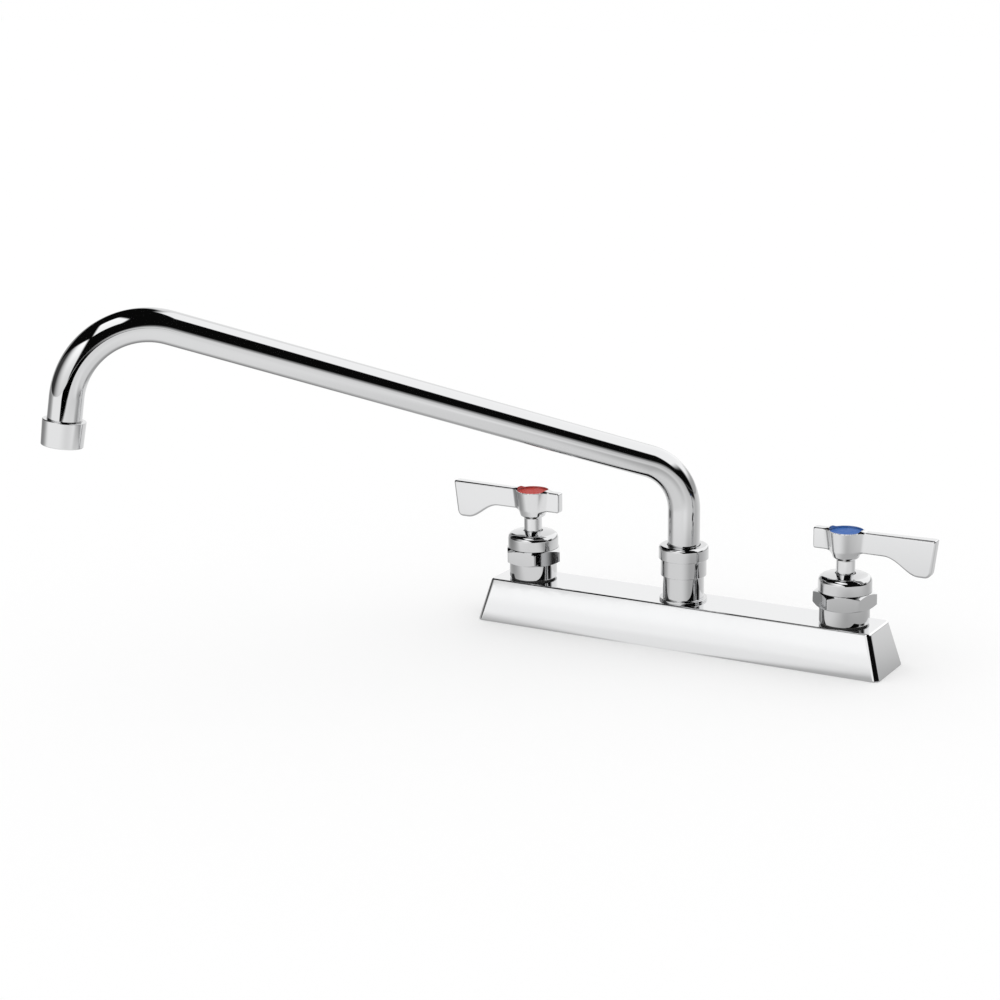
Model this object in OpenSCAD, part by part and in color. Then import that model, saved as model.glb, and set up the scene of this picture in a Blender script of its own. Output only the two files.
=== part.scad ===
// Deck-mount mixing faucet: two lever valves on one long base and a swinging spout.
// Millimetres, +Z up. The origin is the middle of the base's flat underside, on the deck.
// X runs along the base from the hot valve to the cold valve, and -Y faces the user.

/* [Base casting] */
// Distance between the two valve axes
valve_centres = 203.2; // [196:0.1:208]
// Length of the base at the deck
base_length = 260.6; // [254:0.2:270]
// Width of the base at the deck
base_width = 40; // [38.4:0.1:42]
// Height of the base above the deck
base_height = 26.2; // [25.6:0.1:30]
// How far each end leans in between foot and top
end_lean = 6.8; // [3:0.1:8]
// How far each long side leans in between foot and top
side_lean = 3.8; // [2:0.1:4]
// Rounding of the edges round the top face
top_round = 1.5; // [0.8:0.1:2]
// Rounding of the corners in plan
corner_round = 3.4; // [2.5:0.1:5]
// Wall of the hollow casting
cast_wall = 3.2; // [2.5:0.1:4]
// Radius of the bosses round the bores
boss_r = 14; // [13.6:0.1:14.4]
// Thickness of the two stiffening ribs
rib_thick = 3; // [2:0.1:5]
// Radius of the cored waterway from each valve to the post
waterway_r = 3.7; // [3:0.1:4]
// Wall round the cored waterway
waterway_wall = 2.4; // [2:0.1:3]

/* [Inlets] */
// Radius of the tapping bore of each inlet thread
inlet_r = 9.13; // [8.5:0.01:9.5]
// Depth of each inlet thread
inlet_depth = 11; // [10:0.1:12]
// Wall between the inlet and the valve chamber
seat_web = 2.2; // [1.8:0.1:2.6]
// Radius of the port through that wall
port_r = 5.5; // [4.5:0.1:6]

/* [Valve bonnets] */
// Radius of the round skirt under the hex
skirt_r = 14.5; // [14:0.1:15.2]
// Height of the hex's underside above the base
hex_bottom = 10.2; // [9:0.1:12]
// Height of the hex
hex_height = 9; // [7.6:0.1:10]
// Hex size across the flats
hex_flats = 31.75; // [31:0.05:33]
// How far the hot hex is turned where it came tight
hex_turn_hot = 0; // [0:1:60]
// How far the cold hex is turned where it came tight
hex_turn_cold = 18; // [0:1:60]
// Radius of the bonnet's threaded shank in the base
shank_r = 12; // [11.8:0.1:12.2]
// Length of that shank
shank_length = 4.6; // [4:0.1:5]
// Radius of the bonnet's upper thread, inside the cap
cap_thread_r = 13.1; // [12.8:0.1:13.3]
// Height of that thread above the hex
cap_thread_length = 4.2; // [3.8:0.1:4.6]
// Radius of the gasket under the bonnet
gasket_r = 13.3; // [13:0.1:13.6]
// Thickness of that gasket
gasket_thick = 0.9; // [0.6:0.1:1.4]
// Radius of the domed cap
cap_r = 15.4; // [15:0.1:15.8]
// Height of the cap's rounded shoulder above the hex
cap_height = 9.4; // [9:0.1:10]
// Rise of the crown above the shoulder
dome_rise = 1.3; // [0.6:0.1:1.6]
// Rounding of the cap's shoulder
cap_round = 3.6; // [2.8:0.1:4]
// Thickness of the cap's crown in the middle
cap_top = 4.1; // [3.8:0.1:4.3]

/* [Cartridges] */
// Radius of the cartridge shell
shell_r = 10; // [9.8:0.1:10.2]
// Radius of the ceramic discs
disc_r = 8.5; // [8.2:0.1:8.6]
// Thickness of each ceramic disc
disc_thick = 2.2; // [1.8:0.1:2.4]
// Thickness of the rubber seat seal
seal_thick = 1.5; // [1.2:0.1:1.8]
// Radius of the stem
stem_r = 5; // [4.8:0.1:5.2]
// Radius over the teeth of the stem's top
tooth_r = 4.2; // [4:0.1:4.4]
// Number of teeth on the stem's top
tooth_count = 20; // [16:2:24]
// Depth of the teeth
tooth_depth = 0.4; // [0.3:0.05:0.6]
// Section radius of the stem's O-rings
stem_ring_r = 0.55; // [0.45:0.05:0.65]

/* [Lever handles] */
// Radius of the handle's neck
neck_r = 5.5; // [5.5:0.05:6]
// Height of the top of the neck above the cap's crown
neck_height = 7.3; // [6.8:0.1:10]
// Radius of the hub at its top
hub_r = 10.2; // [9.8:0.1:11]
// Radius of the hub at its knee, level with the blade's lower edge
knee_r = 8.7; // [8:0.1:9.6]
// Height of the hub
hub_height = 17.1; // [16:0.1:18.4]
// Length of the blade from the stem axis
blade_length = 54.6; // [50:0.1:60]
// Height of the blade at its waist
blade_waist = 12.2; // [11:0.1:13]
// Height of the blade at its tip
blade_tip = 22.4; // [20:0.1:24]
// How much the blade's top edge climbs toward the tip
blade_climb = 0.7; // [0:0.1:2]
// Thickness of the blade at the hub
blade_root_thick = 5.2; // [4:0.1:6]
// Thickness of the blade at its tip
blade_tip_thick = 7.4; // [6:0.1:9]
// How far the end of the blade leans back from top to bottom
tip_lean = 2.9; // [1:0.1:4]
// Rounding of the blade's lower corner
tip_round = 4.2; // [3:0.1:5]
// Fillet under the blade where it meets the hub
root_fillet = 3.9; // [2:0.1:4.4]
// Rounding along the blade's edges
edge_round = 0.9; // [0.5:0.1:1.3]
// Length of the stub from the stem axis
stub_length = 19.6; // [17:0.1:24]
// Thickness of the stub
stub_thick = 6.2; // [5:0.1:7]
// Angle that the levers are turned toward the user at rest
lever_rest = 0; // [0:1:20]
// Radius of the coloured button
button_r = 9.8; // [9:0.1:10]
// Thickness of the button's flange
button_thick = 1; // [0.8:0.1:1.6]
// Radius of the pocket for the screw and the button's spigot
pocket_r = 4.7; // [4.5:0.1:5]
// Thickness of the web that the screw clamps
web_thick = 3.6; // [3:0.1:4.5]
// Radius of the handle screw
screw_r = 2; // [1.8:0.1:2.2]
// Radius of the screw's head
screw_head_r = 3.9; // [3.6:0.1:4.2]

/* [Spout post and nut] */
// Radius of the post's foot flange
foot_r = 14.2; // [13.6:0.1:14.6]
// Thickness of the foot flange
foot_thick = 1.5; // [1:0.1:2.5]
// Radius of the post
post_r = 12.2; // [12:0.1:12.6]
// Height of the post above the base
post_height = 26.6; // [25:0.1:28]
// Radius of the post's threaded shank in the base
post_shank_r = 10; // [9.8:0.1:10.4]
// Length of that shank
post_shank_length = 11.4; // [10:0.1:12]
// Radius of the ferrule that turns in the post
ferrule_r = 8.9; // [8.7:0.05:9.1]
// Length of the ferrule below the top of the post
ferrule_length = 20; // [18:0.1:21]
// Height of the nut's lower edge above the base
nut_bottom = 15.2; // [13:0.1:18]
// Height of the step between the nut's skirt and its band
nut_step = 25.3; // [23:0.1:27]
// Radius of the nut's skirt
nut_skirt_r = 13.6; // [13.3:0.1:14]
// Radius of the nut's band
nut_band_r = 14.8; // [14.4:0.1:15.5]
// Rounding of the band's edges
nut_round = 2.1; // [1.2:0.1:2.3]
// Thickness of the nut's lip
lip_thick = 2.1; // [1.6:0.1:3]
// Thickness of the slip washer under the lip
washer_thick = 0.8; // [0.6:0.1:1.4]
// Thickness of the ferrule's flange
flange_thick = 3.5; // [3.2:0.1:5]
// Section radius of the spout's O-rings
spout_ring_r = 0.62; // [0.5:0.02:0.7]

/* [Spout tube] */
// Outer radius of the tube
tube_r = 9.525; // [9.3:0.025:9.7]
// Wall of the tube
tube_wall = 1.2; // [0.9:0.1:1.6]
// Height of the riser's straight part above the base
riser_height = 54.4; // [45:0.1:80]
// Bend radius of the elbow, on the centre line
elbow_r = 33; // [28:0.5:45]
// Climb of the long run above level
climb = 19; // [10:0.5:25]
// Length of the long straight run
run_length = 289.3; // [240:0.1:320]
// Bend radius above the outlet, on the centre line
outlet_bend_r = 43.7; // [35:0.1:50]
// How far the outlet leans outward from straight down
outlet_lean = 8.7; // [0:0.1:15]
// Straight length between the bend and the collar
drop_length = 12.6; // [1:0.1:20]
// Swing of the spout about the post, from +X
swing = 224.3; // [180:0.1:360]

/* [Outlet] */
// Radius of the collar
collar_r = 12; // [11.9:0.1:13]
// Length of the collar
collar_length = 14.5; // [14:0.1:18]
// Rounding of the collar's lower edge
collar_round = 1.6; // [0.8:0.1:1.8]
// How deep the tube sits in the collar
tube_seat = 5; // [4:0.1:5.4]
// Radius of the thread inside the collar
collar_bore_r = 10.4; // [10.2:0.05:10.6]
// Thickness of the rubber washer above the aerator
aerator_washer_thick = 1.2; // [1:0.1:1.6]
// Thickness of the woven screen
screen_thick = 0.5; // [0.4:0.1:0.8]
// Pitch of the screen's mesh
screen_pitch = 2; // [1.8:0.1:2.6]
// Width of the bars between the screen's openings
screen_bar = 0.6; // [0.5:0.1:0.8]
// Wall of the aerator insert
insert_wall = 1.4; // [1:0.1:2]
// Number of straightening vanes in the insert
vane_count = 6; // [4:1:8]

/* [Clearances] */
// Gap round a thread that is screwed home
thread_gap = 0.08; // [0.05:0.01:0.1]
// Gap round a stem or ferrule that turns in its bore
turn_gap = 0.07; // [0.05:0.01:0.1]
// Gap round a piece that turns inside a plain hole
hole_gap = 0.35; // [0.3:0.05:0.45]
// Gap between a seated piece and its seat
seat_gap = 0.05; // [0.02:0.01:0.1]

/* [Hidden] */
$fn = 64;
hull_fn = 32;
cut = 1;

// Base
deck = base_height;
valve_x = valve_centres / 2;
half_len = base_length / 2;
half_wid = base_width / 2;
cavity_top = deck - cast_wall;
rib_x = valve_x / 2;
rib_foot = 6;
post_bore_floor = deck - post_shank_length - 0.4;
well_r = 7;
well_floor = 5;

// Valve heights
chamber_floor = inlet_depth + seat_web;
bonnet_foot = deck + gasket_thick;
hex_z0 = deck + hex_bottom;
hex_z1 = hex_z0 + hex_height;
hex_corner_r = hex_flats / 2 / cos(30);
bonnet_top = hex_z1 + cap_thread_length;
cap_shoulder = hex_z1 + cap_height;
cap_side_top = cap_shoulder - cap_round;
cap_flat_r = cap_r - cap_round;
cap_peak = cap_shoulder + dome_rise;
crown_drop = (cap_flat_r * cap_flat_r - dome_rise * dome_rise) / (2 * dome_rise);
crown_r = crown_drop + dome_rise + cap_round;
crown_edge_r = crown_r * cap_flat_r / (crown_r - cap_round);
cap_ceiling = cap_peak - cap_top;
shell_bore_r = stem_r + turn_gap;
seal_top = chamber_floor + seal_thick;
fixed_top = seal_top + disc_thick;
moving_z0 = fixed_top + seat_gap;
moving_top = moving_z0 + disc_thick;
disc_room_r = disc_r + 0.15;
stem_flange_z0 = moving_top + seat_gap;
stem_flange_thick = 2;
disc_room_top = stem_flange_z0 + stem_flange_thick + 0.2;
shell_flange_thick = cap_ceiling - bonnet_top - seat_gap;
shell_flange_r = cap_thread_r - 0.6;
tang_w = 3;
tang_d = 1;

// Handle heights
neck_foot = cap_peak - 1;
neck_top = cap_peak + neck_height;
hub_top = neck_top + hub_height;
button_top = hub_top + button_thick;
stem_top = neck_top - 1.6;
broach_top = stem_top + 0.2;
web_top = broach_top + web_thick;
blade_top = button_top - 0.4;
waist_z = blade_top - blade_waist;
tip_z = blade_top + blade_climb - blade_tip;
waist_end = 0.42 * blade_length;
sweep_end = 0.855 * blade_length;
root_x = knee_r - 0.7;
ring_steps = 4;

// Post, nut and ferrule heights
post_top = deck + post_height;
ferrule_bore_r = ferrule_r - 2.4;
flange_z0 = post_top + 0.3;
flange_z1 = flange_z0 + flange_thick;
flange_r = tube_r + 1.4;
socket_depth = flange_thick - 0.5;
washer_z0 = flange_z1 + 0.2;
lip_z0 = washer_z0 + washer_thick;
nut_top = lip_z0 + lip_thick;
tube_hole_r = tube_r + hole_gap;

// Spout path in its own upright plane, S outward from the post axis and Z up
tube_foot = flange_z1 - socket_depth;
riser_top = deck + riser_height;
elbow_turn = 90 - climb;
elbow_s = elbow_r * (1 - cos(elbow_turn));
elbow_z = riser_top + elbow_r * sin(elbow_turn);
run_s = elbow_s + run_length * cos(climb);
run_z = elbow_z + run_length * sin(climb);
bend_turn = 90 + climb - outlet_lean;
bend_cs = run_s + outlet_bend_r * sin(climb);
bend_cz = run_z - outlet_bend_r * cos(climb);
outlet_s = bend_cs + outlet_bend_r * cos(outlet_lean);
outlet_z = bend_cz + outlet_bend_r * sin(outlet_lean);
tube_bore_r = tube_r - tube_wall;
bend_lap = 0.5;
bend_swell = 0.03;
washer_w0 = drop_length + tube_seat + seat_gap;
screen_w0 = washer_w0 + aerator_washer_thick;
insert_w0 = screen_w0 + screen_thick;
collar_w1 = drop_length + collar_length;
insert_w1 = collar_w1 - 0.8;

function ease(t) = t <= 0 ? 0 : (t >= 1 ? 1 : (1 - cos(180 * t)) / 2);

// Rounded rectangle round (0, zc) in the YZ plane, half sizes hy and hz
function section(x, hy, zlo, zhi, r) = [
  for (q = [[1, 1, 0], [-1, 1, 90], [-1, -1, 180], [1, -1, 270]], i = [0 : ring_steps])
    let (a = q[2] + 90 * i / ring_steps)
    [x, q[0] * (hy - r) + r * cos(a), (q[1] > 0 ? zhi - r : zlo + r) + r * sin(a)]
];

// Skin through a list of equal rings, closed at both ends
module loft(rings) {
  n = len(rings[0]);
  m = len(rings);
  points = [for (ring = rings, p = ring) p];
  sides = [
    for (k = [0 : m - 2], i = [0 : n - 1])
      let (j = (i + 1) % n)
      each [
        [k * n + i, (k + 1) * n + i, (k + 1) * n + j],
        [k * n + i, (k + 1) * n + j, k * n + j]
      ]
  ];
  first = [for (i = [0 : n - 1]) i];
  last = [for (i = [n - 1 : -1 : 0]) (m - 1) * n + i];
  polyhedron(points, concat(sides, [first, last]), convexity = 6);
}

// Depth of the fillet under the blade or the stub at a distance x from the stem axis
function root_drop(x) =
  let (over = min(root_fillet, max(0, root_x + root_fillet - x)))
  root_fillet - sqrt(root_fillet * root_fillet - over * over);
function root_stations() = concat(
  [0],
  [for (a = [0 : 18 : 90]) root_x + root_fillet * (1 - cos(a))]
);

// Blade outline, x outward from the stem axis
function blade_low(x) =
  let (
    plain = waist_z - (waist_z - tip_z) * ease((x - waist_end) / (sweep_end - waist_end)),
    over = max(0, x - (blade_length - tip_round))
  )
  plain - root_drop(x) + tip_round - sqrt(max(0, tip_round * tip_round - over * over));
function blade_high(x) =
  let (over = max(0, x - (blade_length - edge_round)))
  blade_top + blade_climb * x / blade_length
    - edge_round + sqrt(max(0, edge_round * edge_round - over * over));
function blade_half(x) =
  let (over = max(0, x - (blade_length - edge_round)))
  (blade_root_thick + (blade_tip_thick - blade_root_thick) * x / blade_length) / 2
    - 0.6 * (edge_round - sqrt(max(0, edge_round * edge_round - over * over)));
function blade_stations() = concat(
  root_stations(),
  [for (i = [4 : 16]) i * (blade_length - tip_round) / 16],
  [for (a = [15 : 15 : 90]) blade_length - tip_round + tip_round * sin(a)]
);
function leaned(ring, x) = [
  for (p = ring)
    [p[0] - tip_lean * ease((x - waist_end) / (blade_length - waist_end))
      * (blade_top + blade_climb - p[2]) / blade_tip, p[1], p[2]]
];
function stub_stations() = concat(
  root_stations(),
  [stub_length - edge_round],
  [for (a = [30 : 30 : 90]) stub_length - edge_round + edge_round * sin(a)]
);

module blade() {
  loft([
    for (x = blade_stations())
      leaned(section(x, blade_half(x), blade_low(x), blade_high(x), edge_round), x)
  ]);
}

module stub() {
  mirror([1, 0, 0]) loft([
    for (x = stub_stations())
      let (
        over = max(0, x - (stub_length - edge_round)),
        inset = edge_round - sqrt(max(0, edge_round * edge_round - over * over))
      )
      section(x, stub_thick / 2 - 0.6 * inset, waist_z - root_drop(x) + inset, blade_top - inset, edge_round)
  ]);
}

module ring(r_out, r_in, z0, z1) {
  difference() {
    translate([0, 0, z0]) cylinder(r = r_out, h = z1 - z0);
    translate([0, 0, z0 - cut]) cylinder(r = r_in, h = z1 - z0 + 2 * cut);
  }
}

module o_ring(r, section_r, z) {
  translate([0, 0, z]) rotate_extrude() translate([r, 0]) circle(r = section_r, $fn = 24);
}

// Round disc with its upper edge rounded, used at the corners of the base
module soft_corner(r, edge, z) {
  translate([0, 0, z]) rotate_extrude($fn = hull_fn) polygon(concat(
    [[0, -edge], [r, -edge]],
    [for (a = [0 : 15 : 90]) [r - edge + edge * cos(a), -edge + edge * sin(a)]],
    [[0, 0]]
  ));
}

module base_outside() {
  top_x = half_len - end_lean - corner_round;
  top_y = half_wid - side_lean - corner_round;
  hull() {
    for (sx = [-1, 1], sy = [-1, 1]) {
      translate([sx * (half_len - corner_round), sy * (half_wid - corner_round), 0])
        cylinder(r = corner_round, h = 0.8, $fn = hull_fn);
      translate([sx * top_x, sy * top_y, 0]) soft_corner(corner_round, top_round, deck);
    }
  }
}

module base_inside() {
  foot_x = half_len - cast_wall - 2;
  foot_y = half_wid - cast_wall - 2;
  high_x = foot_x - end_lean * cavity_top / deck;
  high_y = foot_y - side_lean * cavity_top / deck;
  hull() {
    for (sx = [-1, 1], sy = [-1, 1]) {
      translate([sx * foot_x, sy * foot_y, -cut]) cylinder(r = 2, h = cut, $fn = hull_fn);
      translate([sx * high_x, sy * high_y, cavity_top - 2]) sphere(r = 2, $fn = 24);
    }
  }
}

// Straight line of flow from a valve chamber down to the well under the post
flow_z_valve = chamber_floor + waterway_r + 0.2;
flow_z_well = well_floor + waterway_r + 0.5;
flow_run = valve_x;
flow_tilt = atan((flow_z_valve - flow_z_well) / flow_run);

module flow(side, r) {
  translate([0, 0, flow_z_well]) rotate([0, side > 0 ? 90 - flow_tilt : flow_tilt - 90, 0])
    cylinder(r = r, h = flow_run / cos(flow_tilt));
}

module base_body() {
  color([0.86, 0.87, 0.88]) difference() {
    union() {
      difference() {
        base_outside();
        base_inside();
      }
      for (x = [-valve_x, 0, valve_x]) {
        translate([x, 0, 0]) cylinder(r = boss_r, h = cavity_top + 0.5);
      }
      for (side = [-1, 1]) {
        flow(side, waterway_r + waterway_wall);
        translate([side * rib_x - rib_thick / 2, -(half_wid - side_lean - cast_wall), rib_foot])
          cube([rib_thick, 2 * (half_wid - side_lean - cast_wall), cavity_top + 0.5 - rib_foot]);
      }
    }
    for (x = [-valve_x, valve_x]) {
      translate([x, 0, -cut]) cylinder(r = inlet_r, h = inlet_depth + cut);
      translate([x, 0, inlet_depth - cut]) cylinder(r = port_r, h = seat_web + 2 * cut);
      translate([x, 0, chamber_floor]) cylinder(r = shank_r + thread_gap, h = deck);
    }
    translate([0, 0, well_floor]) cylinder(r = well_r, h = deck);
    translate([0, 0, post_bore_floor]) cylinder(r = post_shank_r + thread_gap, h = deck);
    for (side = [-1, 1]) {
      flow(side, waterway_r);
    }
  }
}

module spout_post() {
  color([0.84, 0.85, 0.86]) difference() {
    union() {
      translate([0, 0, deck - post_shank_length]) cylinder(r = post_shank_r, h = post_shank_length);
      translate([0, 0, deck]) rotate_extrude() polygon([
        [0, 0], [foot_r - 0.3, 0], [foot_r, 0.3], [foot_r, foot_thick - 0.4],
        [foot_r - 0.4, foot_thick], [post_r, foot_thick], [post_r, post_height - 0.5],
        [post_r - 0.5, post_height], [0, post_height]
      ]);
    }
    translate([0, 0, deck - post_shank_length - cut]) cylinder(r = 6.2, h = 2 * post_height);
    translate([0, 0, post_top - ferrule_length - 0.8])
      cylinder(r = ferrule_r + turn_gap, h = post_height);
  }
}

module swivel_nut() {
  color([0.84, 0.85, 0.86]) difference() {
    rotate_extrude() union() {
      translate([0, deck + nut_bottom]) square([nut_skirt_r, nut_step - nut_bottom + 0.2]);
      translate([0, deck + nut_step]) square([nut_band_r - nut_round, nut_top - deck - nut_step]);
      translate([0, deck + nut_step + 0.4]) square([nut_band_r, nut_top - deck - nut_step - 0.4 - nut_round]);
      translate([0, deck + nut_step]) polygon([[0, 0], [nut_band_r - 0.4, 0], [nut_band_r, 0.4], [0, 0.4]]);
      translate([nut_band_r - nut_round, nut_top - nut_round]) circle(r = nut_round, $fn = 32);
    }
    translate([0, 0, deck + nut_bottom - cut])
      cylinder(r = post_r + thread_gap, h = lip_z0 - deck - nut_bottom + cut);
    translate([0, 0, deck]) cylinder(r = tube_hole_r, h = 2 * post_height);
  }
}

module slip_washer() {
  color([0.93, 0.93, 0.9]) ring(post_r - 0.3, tube_hole_r, washer_z0, lip_z0);
}

// Hex bar with its corners turned off at both faces
module hex_bar() {
  slope = (hex_corner_r - hex_flats / 2 + 0.3) * tan(30);
  intersection() {
    translate([0, 0, hex_z0]) cylinder(r = hex_corner_r, h = hex_height, $fn = 6);
    translate([0, 0, hex_z0]) rotate_extrude() polygon([
      [0, 0], [hex_flats / 2 - 0.3, 0], [hex_corner_r, slope],
      [hex_corner_r, hex_height - slope], [hex_flats / 2 - 0.3, hex_height], [0, hex_height]
    ]);
  }
}

module bonnet() {
  difference() {
    union() {
      translate([0, 0, deck - shank_length]) cylinder(r = shank_r, h = shank_length + gasket_thick + 0.5);
      translate([0, 0, bonnet_foot]) rotate_extrude() polygon([
        [0, 0], [skirt_r - 0.5, 0], [skirt_r, 0.5],
        [skirt_r, hex_z0 - bonnet_foot + 0.2], [0, hex_z0 - bonnet_foot + 0.2]
      ]);
      hex_bar();
      translate([0, 0, hex_z1 - 0.2]) cylinder(r = cap_thread_r, h = cap_thread_length + 0.2);
    }
    translate([0, 0, deck - shank_length - cut]) cylinder(r = shell_r + thread_gap, h = 3 * deck);
  }
}

module bonnet_gasket() {
  ring(gasket_r, shank_r + thread_gap, deck, bonnet_foot);
}

// Cap nut: plain side, rounded shoulder and a shallow spherical crown that runs into the shoulder
module cap() {
  difference() {
    rotate_extrude() union() {
      polygon([
        [0, hex_z1], [cap_r - 0.4, hex_z1], [cap_r, hex_z1 + 0.4],
        [cap_r, cap_side_top], [0, cap_side_top]
      ]);
      translate([cap_flat_r, cap_side_top]) circle(r = cap_round, $fn = 48);
      intersection() {
        translate([0, cap_side_top - crown_drop]) circle(r = crown_r, $fn = 360);
        translate([0, hex_z1]) square([crown_edge_r, 2 * cap_height]);
      }
    }
    translate([0, 0, hex_z1 - cut])
      cylinder(r = cap_thread_r + thread_gap, h = cap_ceiling - hex_z1 + cut);
    translate([0, 0, hex_z1]) cylinder(r = neck_r + hole_gap, h = 2 * cap_height);
  }
}

module cartridge() {
  difference() {
    union() {
      translate([0, 0, seal_top]) cylinder(r = shell_r, h = bonnet_top - seal_top);
      translate([0, 0, bonnet_top]) cylinder(r = shell_flange_r, h = shell_flange_thick);
    }
    translate([0, 0, seal_top - cut]) cylinder(r = disc_room_r, h = disc_room_top - seal_top + cut);
    translate([0, 0, seal_top]) cylinder(r = shell_bore_r, h = 3 * deck);
    translate([-2 * shell_r, -3.5, fixed_top]) cube([4 * shell_r, 7, disc_thick + 0.6]);
  }
}

// Two sector ports through a ceramic disc
module disc_ports(turn) {
  rotate([0, 0, turn]) for (k = [0, 180]) {
    rotate([0, 0, k]) difference() {
      intersection() {
        circle(r = disc_r - 1.6);
        polygon([[0, 0], [2 * disc_r * cos(35), -2 * disc_r * sin(35)], [2 * disc_r * cos(35), 2 * disc_r * sin(35)]]);
      }
      circle(r = 2.4);
    }
  }
}

module fixed_disc() {
  translate([0, 0, seal_top]) linear_extrude(disc_thick) difference() {
    circle(r = disc_r);
    disc_ports(0);
  }
}

module moving_disc() {
  translate([0, 0, moving_z0]) difference() {
    linear_extrude(disc_thick) difference() {
      circle(r = disc_r);
      disc_ports(90);
    }
    translate([-disc_r, -tang_w / 2 - seat_gap, disc_thick - tang_d - seat_gap])
      cube([2 * disc_r, tang_w + 2 * seat_gap, 2 * tang_d]);
  }
}

module seat_seal() {
  ring(disc_r, port_r, chamber_floor, seal_top);
}

stem_groove_r = stem_r + turn_gap - 2 * stem_ring_r - 0.12;
stem_ring_z = [bonnet_top - 9, bonnet_top - 4];

module stem() {
  difference() {
    union() {
      translate([0, 0, stem_flange_z0]) cylinder(r = disc_r - 0.2, h = stem_flange_thick);
      translate([-disc_r + 1.2, -tang_w / 2, stem_flange_z0 - tang_d])
        cube([2 * disc_r - 2.4, tang_w, tang_d + 0.5]);
      translate([0, 0, stem_flange_z0]) cylinder(r = stem_r, h = neck_foot - stem_flange_z0);
      translate([0, 0, neck_foot - 0.5]) linear_extrude(stem_top - neck_foot + 0.5) polygon([
        for (i = [0 : 2 * tooth_count - 1])
          let (a = 180 * i / tooth_count, r = i % 2 == 0 ? tooth_r : tooth_r - tooth_depth)
          [r * cos(a), r * sin(a)]
      ]);
    }
    for (z = stem_ring_z) {
      ring(2 * stem_r, stem_groove_r, z - stem_ring_r - 0.1, z + stem_ring_r + 0.1);
    }
    translate([0, 0, stem_top - 10]) cylinder(r = screw_r + thread_gap, h = 20);
  }
}

module stem_orings() {
  for (z = stem_ring_z) {
    o_ring(stem_r + turn_gap - stem_ring_r - 0.05, stem_ring_r, z);
  }
}

// Neck and flared hub of a lever, with a soft knee between the two slopes
module hub() {
  knee_z = waist_z - neck_top;
  translate([0, 0, neck_top]) rotate_extrude() polygon([
    [0, neck_foot - neck_top], [neck_r, neck_foot - neck_top], [neck_r, 0],
    [neck_r + 0.75 * (knee_r - neck_r), 0.66 * knee_z], [knee_r - 0.25, 0.9 * knee_z],
    [knee_r + 0.05, 1.15 * knee_z], [knee_r + 0.4 * (hub_r - knee_r), knee_z + 0.3 * (hub_height - knee_z)],
    [hub_r, hub_height], [0, hub_height]
  ]);
}

module handle() {
  difference() {
    union() {
      hub();
      blade();
      stub();
    }
    translate([0, 0, neck_foot - cut]) cylinder(r = tooth_r + seat_gap, h = broach_top - neck_foot + cut);
    translate([0, 0, broach_top - cut]) cylinder(r = screw_r + 0.3, h = web_thick + 2 * cut);
    translate([0, 0, web_top]) cylinder(r = pocket_r, h = hub_height);
    translate([0, 0, hub_top]) cylinder(r = button_r + 0.1, h = 2 * button_thick);
  }
}

module handle_screw() {
  head = 2.6;
  difference() {
    union() {
      translate([0, 0, stem_top - 9]) cylinder(r = screw_r, h = web_top - stem_top + 9);
      translate([0, 0, web_top]) rotate_extrude() polygon([
        [0, 0], [screw_head_r, 0], [screw_head_r, head - 0.8], [screw_head_r - 0.8, head], [0, head]
      ]);
    }
    for (a = [0, 90]) {
      translate([0, 0, web_top + head - 0.6]) rotate([0, 0, a]) cube([4.6, 0.9, 2.6], center = true);
    }
  }
}

module index_button() {
  spigot = 4;
  difference() {
    union() {
      translate([0, 0, hub_top]) rotate_extrude() polygon([
        [0, 0], [button_r - 0.1, 0], [button_r, 0.15], [button_r, button_thick - 0.5],
        [button_r - 0.5, button_thick - 0.15], [0.6 * button_r, button_thick], [0, button_thick]
      ]);
      translate([0, 0, hub_top - spigot]) cylinder(r = pocket_r - 0.08, h = spigot + 0.2);
    }
    translate([0, 0, hub_top - spigot - cut]) cylinder(r = pocket_r - 1.3, h = spigot + cut);
  }
}

// One bent tube or its bore, in the spout's own plane. The bends come out a touch fuller than the
// straight lengths, which run on inside them.
module tube_path(r, foot, drop) {
  translate([0, 0, foot]) cylinder(r = r, h = riser_top - foot + bend_lap);
  translate([elbow_r, 0, riser_top]) rotate([90, 0, 0]) rotate([0, 0, 180 - elbow_turn])
    rotate_extrude(angle = elbow_turn) translate([elbow_r, 0]) circle(r = r + bend_swell);
  translate([elbow_s, 0, elbow_z]) rotate([0, 90 - climb, 0])
    translate([0, 0, -bend_lap]) cylinder(r = r, h = run_length + 2 * bend_lap);
  translate([bend_cs, 0, bend_cz]) rotate([90, 0, 0]) rotate([0, 0, outlet_lean])
    rotate_extrude(angle = bend_turn) translate([outlet_bend_r, 0]) circle(r = r + bend_swell);
  translate([outlet_s, 0, outlet_z]) rotate([0, 180 - outlet_lean, 0])
    translate([0, 0, -bend_lap]) cylinder(r = r, h = drop + bend_lap);
}

module at_spout() {
  rotate([0, 0, swing]) children();
}

// Outlet frame: W runs out of the spout along the outlet's axis
module at_outlet() {
  at_spout() translate([outlet_s, 0, outlet_z]) rotate([0, 180 - outlet_lean, 0]) children();
}

module spout_tube() {
  color([0.82, 0.83, 0.84]) at_spout() difference() {
    tube_path(tube_r, tube_foot, drop_length + tube_seat);
    tube_path(tube_bore_r, tube_foot - cut, drop_length + tube_seat + cut);
  }
}

spout_groove_r = ferrule_r + turn_gap - 2 * spout_ring_r - 0.12;
spout_ring_z = [post_top - ferrule_length + 3, post_top - ferrule_length + 8];

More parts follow.
